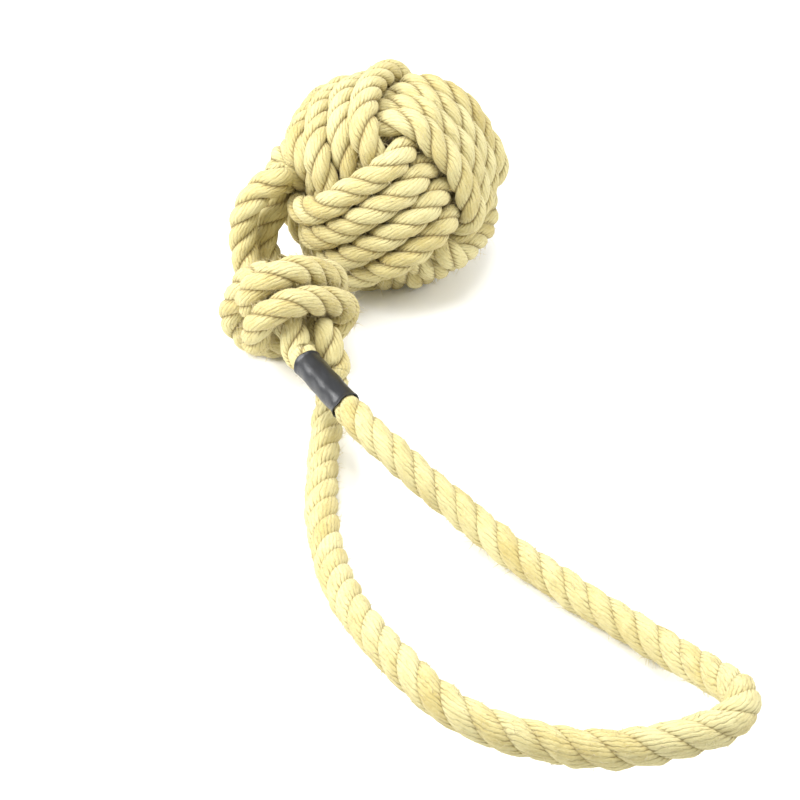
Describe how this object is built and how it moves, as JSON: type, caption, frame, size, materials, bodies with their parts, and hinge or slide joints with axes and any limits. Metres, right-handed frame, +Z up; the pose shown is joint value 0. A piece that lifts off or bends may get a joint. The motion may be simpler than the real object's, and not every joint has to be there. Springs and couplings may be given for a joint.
{
  "type": "rope dog toy",
  "caption": "Rope dog toy: a woven rope fist ball, a short doubled throat, a stopper knot and a long hand loop with a small dark sleeve.",
  "frame": {"origin": "middle of the bounding box, on the ground", "axes": "+Z up from the ground, +Y from the hand loop towards the ball, +X to the right as seen from the hand loop"},
  "size_m": [0.1812, 0.3356, 0.0892],
  "materials": {
    "rope": "rough three-strand twisted natural fibre, pale straw, fuzzy",
    "core": "plain turned wood, out of sight under the winding",
    "sleeve": "satin black shrunk plastic with soft wrinkles"
  },
  "bodies": {
    "knot": {"knot_strand_left": "rope", "knot_strand_right": "rope"},
    "ball": {"core_ball": "core", "fist_wrap_first": "rope", "fist_wrap_second": "rope", "fist_wrap_third": "rope", "throat_strand_back": "rope", "throat_strand_front": "rope"},
    "handle": {"hand_loop": "rope", "shrunk_sleeve": "sleeve", "mouth_strand_left": "rope", "mouth_strand_right": "rope"}
  },
  "joints": [
    {"name": "ball_swing", "type": "hinge", "parent": "knot", "child": "ball", "pos_m": [-0.0807, 0.092, 0.032], "axis": [0.4311, -0.9023, 0], "range_deg": [0, 50], "deforming": ["throat_strand_back", "throat_strand_front"]},
    {"name": "handle_swing", "type": "hinge", "parent": "knot", "child": "handle", "pos_m": [-0.0522, 0.0256, 0.026], "axis": [-0.8924, -0.4512, 0], "range_deg": [0, 55], "deforming": ["mouth_strand_left", "mouth_strand_right"]}
  ]
}
